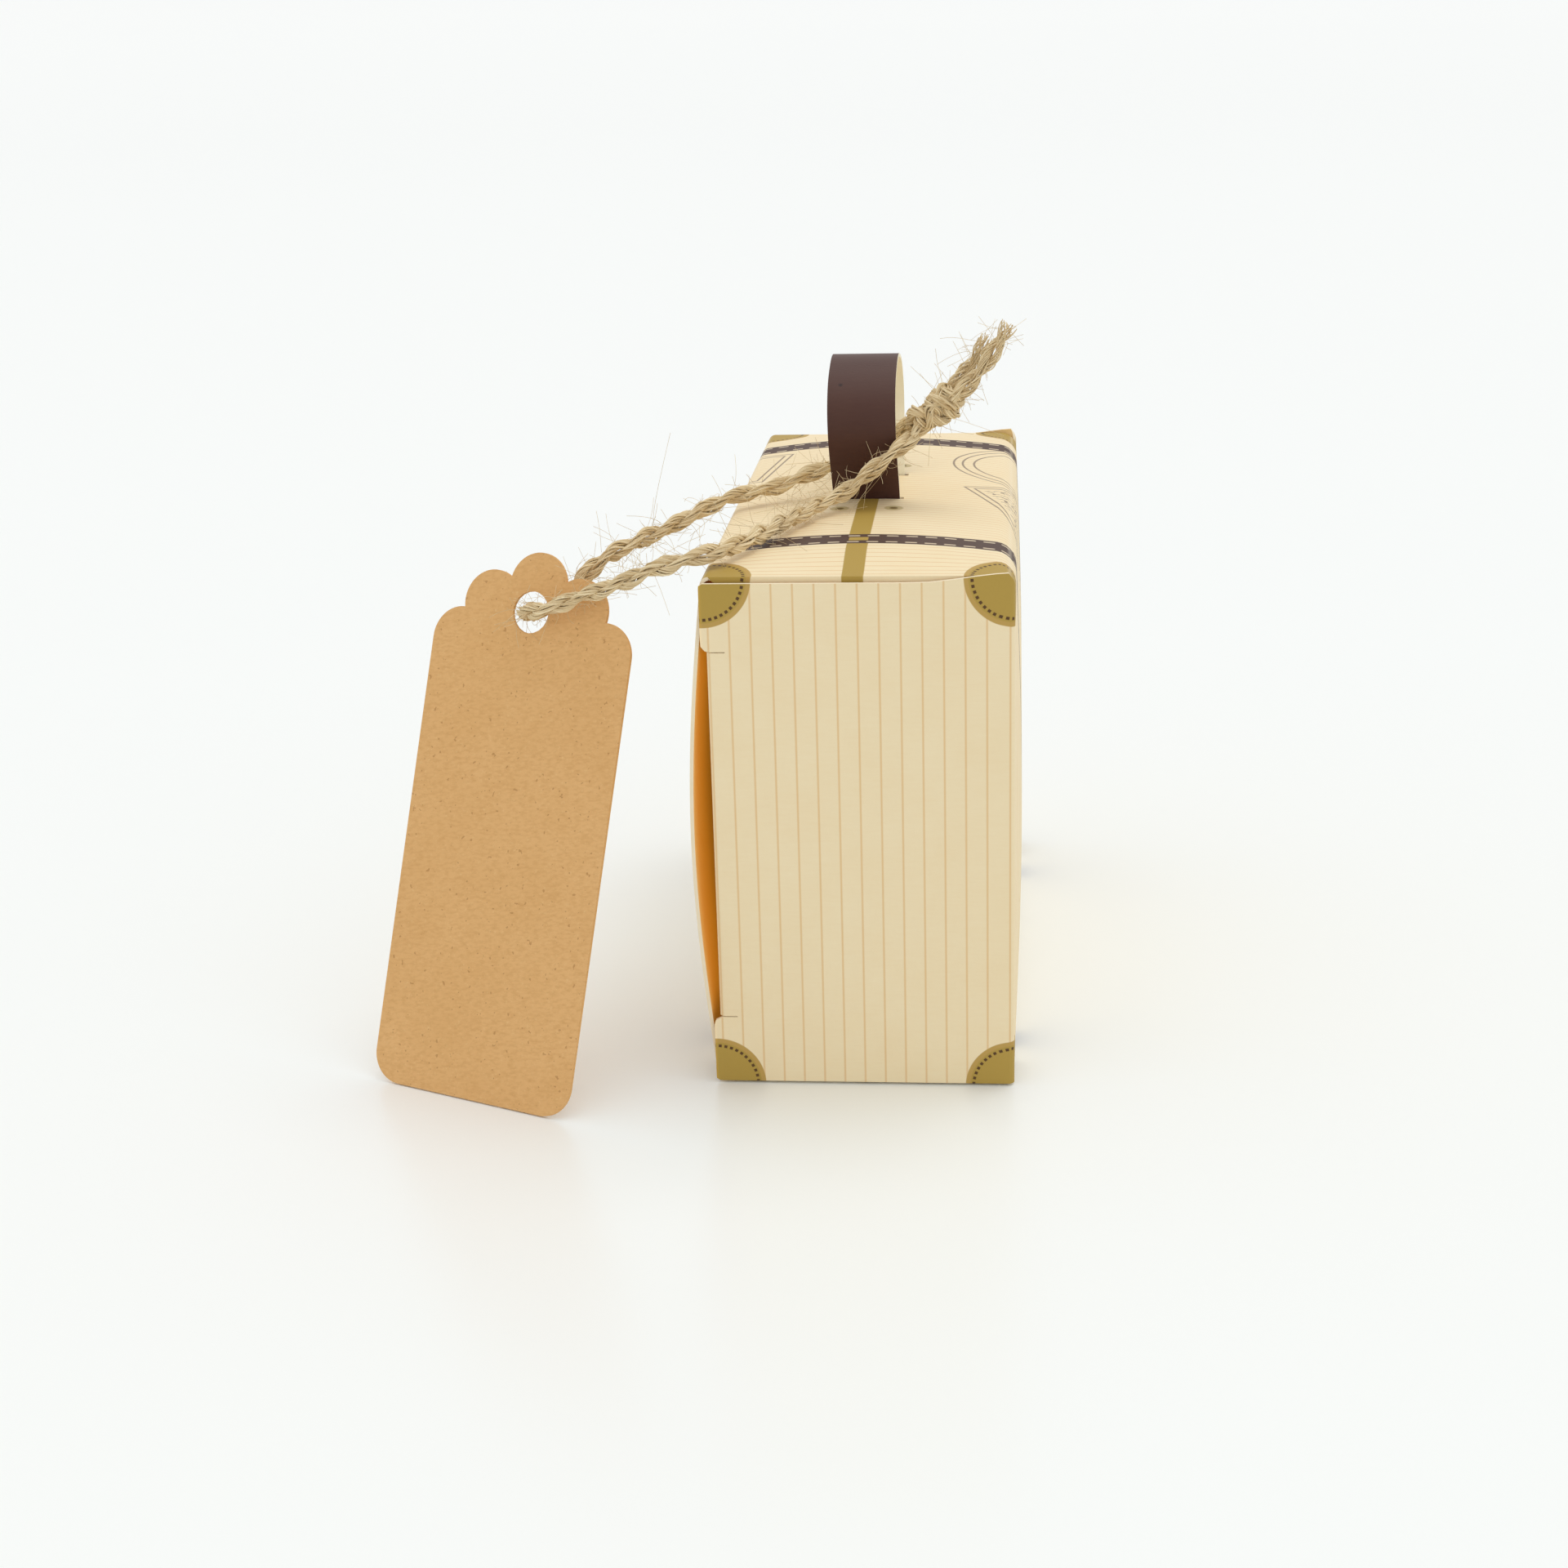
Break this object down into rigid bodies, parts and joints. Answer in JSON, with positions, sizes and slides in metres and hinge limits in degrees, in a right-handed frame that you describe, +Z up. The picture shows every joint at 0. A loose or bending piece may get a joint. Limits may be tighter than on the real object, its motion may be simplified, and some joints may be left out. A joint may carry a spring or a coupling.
{
  "type": "suitcase candy box",
  "caption": "Small folded card favour box shaped like a suitcase, with hinged tuck-in ends, a card handle and a kraft tag tied on with jute twine.",
  "frame": {"origin": "middle of the box's base, on the surface that it stands on", "axes": "+Y along the box from the near end flap to the far one, +X to the right across it, +Z up"},
  "size_m": [0.0727, 0.09, 0.0806],
  "materials": {
    "printed_card": "cream card about 0.4 mm thick, printed with fine stripes, straps and corner patches, satin face",
    "brown_card": "dark brown printed card, satin, cream on the back",
    "kraft_card": "uncoated kraft card, matt and fibrous",
    "jute_twine": "two-ply natural jute, hairy"
  },
  "bodies": {
    "box": {"carton": "printed_card", "handle_strip": "brown_card", "gift_tag": "kraft_card", "twine_loop": "jute_twine", "twine_knot": "jute_twine", "twine_tail_long": "jute_twine", "twine_tail_short": "jute_twine"},
    "near_end_lid": {"near_end_flap": "printed_card"},
    "far_end_lid": {"far_end_flap": "printed_card"}
  },
  "joints": [
    {"name": "near_end_fold", "type": "hinge", "parent": "box", "child": "near_end_lid", "pos_m": [0.0165, -0.04, 0.029], "axis": [0, 0, 1], "range_deg": [0, 180]},
    {"name": "far_end_fold", "type": "hinge", "parent": "box", "child": "far_end_lid", "pos_m": [0.0165, 0.04, 0.029], "axis": [0, 0, -1], "range_deg": [0, 180]}
  ]
}
